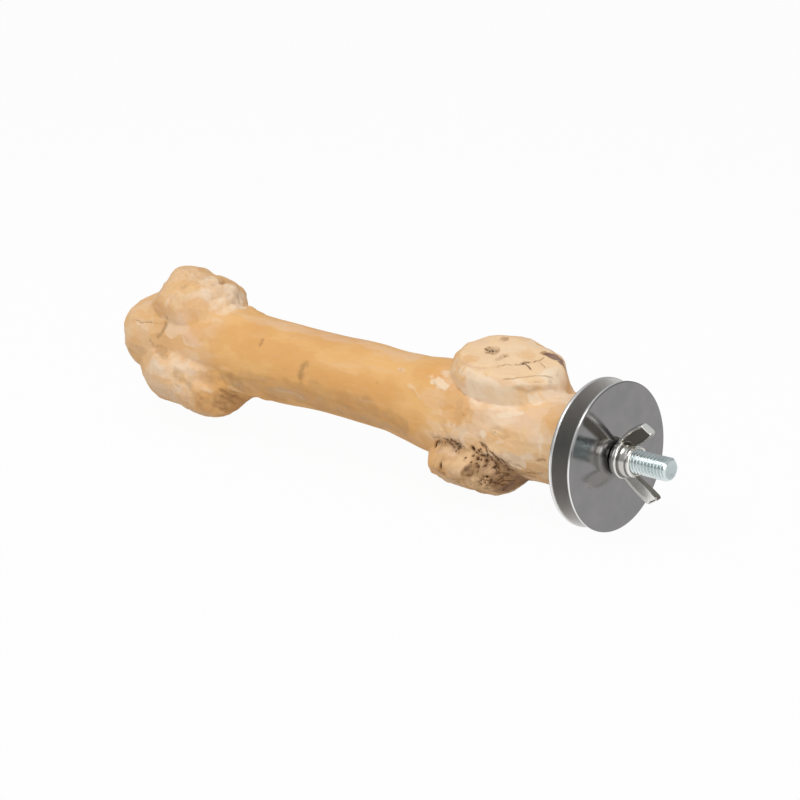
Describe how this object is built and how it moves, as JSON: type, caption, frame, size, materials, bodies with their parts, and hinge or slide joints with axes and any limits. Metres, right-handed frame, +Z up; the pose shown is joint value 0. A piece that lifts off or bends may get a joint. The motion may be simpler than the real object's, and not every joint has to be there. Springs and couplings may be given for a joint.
{
  "type": "bird perch",
  "caption": "Natural branch perch for a cage, held by a hanger bolt through two round clamp washers with a wing nut.",
  "frame": {"origin": "centre of the inner washer's clamp face, on the bolt's axis", "axes": "+X along the bolt to its free end, with the branch on the -X side; +Z up as the perch is shown"},
  "size_m": [0.1979, 0.038, 0.0452],
  "materials": {
    "sanded_wood": "debarked, sanded and left bare",
    "zinc_steel": "bright zinc plated",
    "stainless_steel": "satin rolled",
    "nickel_steel": "nickel plated"
  },
  "bodies": {
    "perch": {"branch": "sanded_wood", "hanger_bolt": "zinc_steel"},
    "inner_washer": {"inner_washer": "stainless_steel"},
    "outer_washer": {"outer_washer": "stainless_steel"},
    "wing_nut": {"wing_nut": "nickel_steel"}
  },
  "joints": [
    {"name": "inner_washer_spin", "type": "hinge", "parent": "perch", "child": "inner_washer", "pos_m": [0, 0, 0], "axis": [1, 0, 0], "continuous": true},
    {"name": "outer_washer_slide", "type": "slide", "parent": "perch", "child": "outer_washer", "axis": [1, 0, 0], "range_m": [-0.0045, 0.009]},
    {"name": "wing_nut_turn", "type": "hinge", "parent": "outer_washer", "child": "wing_nut", "pos_m": [0.0059, 0, 0], "axis": [1, 0, 0], "range_deg": [-1620, 3240]}
  ],
  "couplings": [
    {"joint": "wing_nut_turn", "follows": "outer_washer_slide", "rad_per_m": 6283.2}
  ]
}
